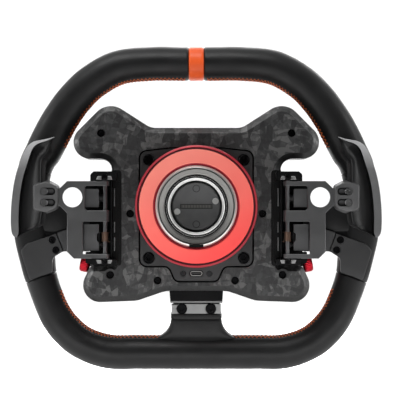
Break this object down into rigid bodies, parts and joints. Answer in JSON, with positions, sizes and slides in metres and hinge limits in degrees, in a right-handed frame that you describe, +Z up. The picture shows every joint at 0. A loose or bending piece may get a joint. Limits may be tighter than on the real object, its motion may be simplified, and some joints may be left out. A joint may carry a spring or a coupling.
{
  "type": "racing wheel",
  "caption": "Flat-bottomed sim racing steering wheel with leather rim, quick-release coupler, magnetic shift paddles, push buttons, joysticks, dials and thumb rollers.",
  "frame": {"origin": "on the spin axis, at the rear end of the quick-release socket's bore", "axes": "+X to the right as seen from behind, +Y towards the driver along the spin axis, +Z up"},
  "size_m": [0.2998, 0.0818, 0.2643],
  "materials": {
    "leather": "smooth black leather",
    "band": "orange leather",
    "shell_plastic": "moulded black grip",
    "rim_metal": "anodised grey, satin",
    "dark_metal": "anodised dark grey, satin",
    "frame_metal": "anodised black, satin",
    "carbon": "forged carbon under a satin coat",
    "screw_steel": "black oxide steel",
    "bright_steel": "plain steel",
    "hub_steel": "machined, bright",
    "red_metal": "anodised red, satin",
    "board": "green circuit board",
    "black_plastic": "moulded black plastic",
    "grey_plastic": "grey plastic",
    "blade_plastic": "black, fine texture",
    "spring_wire": "copper-plated spring wire",
    "rubber": "black rubber",
    "button_red": "red",
    "button_grey": "grey"
  },
  "bodies": {
    "wheel": {"adapter_plate": "dark_metal", "adapter_screws": "screw_steel", "button_bezels": "dark_metal", "centre_band": "band", "centre_frame": "frame_metal", "contact_block": "black_plastic", "cover_screws": "screw_steel", "front_cover": "carbon", "grip_lower": "leather", "grip_upper_left": "leather", "grip_upper_right": "leather", "hinge_pins": "bright_steel", "hub_body": "hub_steel", "joystick_housings": "black_plastic", "lock_balls": "bright_steel", "magnet_blocks": "grey_plastic", "main_board": "board", "paddle_brackets": "dark_metal", "paddle_springs": "spring_wire", "pin_screws": "bright_steel", "rear_cover": "carbon", "rim_bottom_plate": "rim_metal", "rim_core": "rim_metal", "rim_screws": "screw_steel", "rim_side_plates": "dark_metal", "side_shell_left": "shell_plastic", "side_shell_right": "shell_plastic", "small_screws": "bright_steel", "usb_socket": "bright_steel"},
    "release_ring": {"release_ring": "red_metal"},
    "paddle_left": {"paddle_arm_left": "dark_metal", "paddle_blade_left": "blade_plastic", "blade_screws_left": "screw_steel"},
    "paddle_right": {"paddle_arm_right": "dark_metal", "paddle_blade_right": "blade_plastic", "blade_screws_right": "screw_steel"},
    "button_01": {"button_01": "button_red"},
    "button_02": {"button_02": "button_grey"},
    "button_03": {"button_03": "button_grey"},
    "button_04": {"button_04": "button_grey"},
    "button_05": {"button_05": "button_grey"},
    "button_06": {"button_06": "button_red"},
    "button_07": {"button_07": "button_grey"},
    "button_08": {"button_08": "button_grey"},
    "button_09": {"button_09": "button_grey"},
    "button_10": {"button_10": "button_grey"},
    "dial_centre": {"dial_centre": "rubber"},
    "dial_right": {"dial_right": "rubber"},
    "dial_left": {"dial_left": "rubber"},
    "thumb_roller_left": {"thumb_roller_left": "red_metal"},
    "thumb_roller_right": {"thumb_roller_right": "red_metal"},
    "joystick_left_gimbal": {"joystick_left_gimbal": "dark_metal"},
    "joystick_left_cradle": {"joystick_left_cradle": "dark_metal"},
    "joystick_left_shaft": {"joystick_left_shaft": "bright_steel"},
    "joystick_left_knob": {"joystick_left_knob": "rubber"},
    "joystick_right_gimbal": {"joystick_right_gimbal": "dark_metal"},
    "joystick_right_cradle": {"joystick_right_cradle": "dark_metal"},
    "joystick_right_shaft": {"joystick_right_shaft": "bright_steel"},
    "joystick_right_knob": {"joystick_right_knob": "rubber"}
  },
  "joints": [
    {"name": "release_ring_slide", "type": "slide", "parent": "wheel", "child": "release_ring", "axis": [0, 1, 0], "range_m": [0, 0.005], "stiffness_N_per_m": 2000, "springref_m": -0.005},
    {"name": "paddle_left_hinge", "type": "hinge", "parent": "wheel", "child": "paddle_left", "pos_m": [-0.0722, 0.0126, -0.01], "axis": [0, 0, -1], "range_deg": [0, 6], "stiffness_Nm_per_rad": 2, "springref_deg": -4.01},
    {"name": "paddle_right_hinge", "type": "hinge", "parent": "wheel", "child": "paddle_right", "pos_m": [0.0722, 0.0126, -0.01], "axis": [0, 0, 1], "range_deg": [0, 6], "stiffness_Nm_per_rad": 2, "springref_deg": -4.01},
    {"name": "button_01_press", "type": "slide", "parent": "wheel", "child": "button_01", "axis": [0, -1, 0], "range_m": [0, 0.0015], "stiffness_N_per_m": 1200, "springref_m": -0.0006},
    {"name": "button_02_press", "type": "slide", "parent": "wheel", "child": "button_02", "axis": [0, -1, 0], "range_m": [0, 0.0015], "stiffness_N_per_m": 1200, "springref_m": -0.0006},
    {"name": "button_03_press", "type": "slide", "parent": "wheel", "child": "button_03", "axis": [0, -1, 0], "range_m": [0, 0.0015], "stiffness_N_per_m": 1200, "springref_m": -0.0006},
    {"name": "button_04_press", "type": "slide", "parent": "wheel", "child": "button_04", "axis": [0, -1, 0], "range_m": [0, 0.0015], "stiffness_N_per_m": 1200, "springref_m": -0.0006},
    {"name": "button_05_press", "type": "slide", "parent": "wheel", "child": "button_05", "axis": [0, -1, 0], "range_m": [0, 0.0015], "stiffness_N_per_m": 1200, "springref_m": -0.0006},
    {"name": "button_06_press", "type": "slide", "parent": "wheel", "child": "button_06", "axis": [0, -1, 0], "range_m": [0, 0.0015], "stiffness_N_per_m": 1200, "springref_m": -0.0006},
    {"name": "button_07_press", "type": "slide", "parent": "wheel", "child": "button_07", "axis": [0, -1, 0], "range_m": [0, 0.0015], "stiffness_N_per_m": 1200, "springref_m": -0.0006},
    {"name": "button_08_press", "type": "slide", "parent": "wheel", "child": "button_08", "axis": [0, -1, 0], "range_m": [0, 0.0015], "stiffness_N_per_m": 1200, "springref_m": -0.0006},
    {"name": "button_09_press", "type": "slide", "parent": "wheel", "child": "button_09", "axis": [0, -1, 0], "range_m": [0, 0.0015], "stiffness_N_per_m": 1200, "springref_m": -0.0006},
    {"name": "button_10_press", "type": "slide", "parent": "wheel", "child": "button_10", "axis": [0, -1, 0], "range_m": [0, 0.0015], "stiffness_N_per_m": 1200, "springref_m": -0.0006},
    {"name": "dial_centre_turn", "type": "hinge", "parent": "wheel", "child": "dial_centre", "pos_m": [0, 0.066, -0.046], "axis": [0, 1, 0], "continuous": true},
    {"name": "dial_right_turn", "type": "hinge", "parent": "wheel", "child": "dial_right", "pos_m": [0.062, 0.066, -0.053], "axis": [0, 1, 0], "continuous": true},
    {"name": "dial_left_turn", "type": "hinge", "parent": "wheel", "child": "dial_left", "pos_m": [-0.062, 0.066, -0.053], "axis": [0, 1, 0], "continuous": true},
    {"name": "thumb_roller_left_turn", "type": "hinge", "parent": "wheel", "child": "thumb_roller_left", "pos_m": [-0.0908, 0.0525, -0.0466], "axis": [-0.9816, 0, 0.1908], "continuous": true},
    {"name": "thumb_roller_right_turn", "type": "hinge", "parent": "wheel", "child": "thumb_roller_right", "pos_m": [0.0908, 0.0525, -0.0466], "axis": [0.9816, 0, 0.1908], "continuous": true},
    {"name": "joystick_left_tilt_x", "type": "hinge", "parent": "wheel", "child": "joystick_left_gimbal", "pos_m": [-0.067, 0.058, 0.0514], "axis": [1, 0, 0], "range_deg": [-10, 10], "stiffness_Nm_per_rad": 0.15},
    {"name": "joystick_left_tilt_z", "type": "hinge", "parent": "joystick_left_gimbal", "child": "joystick_left_cradle", "pos_m": [-0.067, 0.058, 0.0514], "axis": [0, 0, 1], "range_deg": [-10, 10], "stiffness_Nm_per_rad": 0.15},
    {"name": "joystick_left_push", "type": "slide", "parent": "joystick_left_cradle", "child": "joystick_left_shaft", "axis": [0, -1, 0], "range_m": [0, 0.001], "stiffness_N_per_m": 2500, "springref_m": -0.0006},
    {"name": "joystick_left_turn", "type": "hinge", "parent": "joystick_left_shaft", "child": "joystick_left_knob", "pos_m": [-0.067, 0.058, 0.0514], "axis": [0, 1, 0], "continuous": true},
    {"name": "joystick_right_tilt_x", "type": "hinge", "parent": "wheel", "child": "joystick_right_gimbal", "pos_m": [0.067, 0.058, 0.0514], "axis": [1, 0, 0], "range_deg": [-10, 10], "stiffness_Nm_per_rad": 0.15},
    {"name": "joystick_right_tilt_z", "type": "hinge", "parent": "joystick_right_gimbal", "child": "joystick_right_cradle", "pos_m": [0.067, 0.058, 0.0514], "axis": [0, 0, 1], "range_deg": [-10, 10], "stiffness_Nm_per_rad": 0.15},
    {"name": "joystick_right_push", "type": "slide", "parent": "joystick_right_cradle", "child": "joystick_right_shaft", "axis": [0, -1, 0], "range_m": [0, 0.001], "stiffness_N_per_m": 2500, "springref_m": -0.0006},
    {"name": "joystick_right_turn", "type": "hinge", "parent": "joystick_right_shaft", "child": "joystick_right_knob", "pos_m": [0.067, 0.058, 0.0514], "axis": [0, 1, 0], "continuous": true}
  ]
}
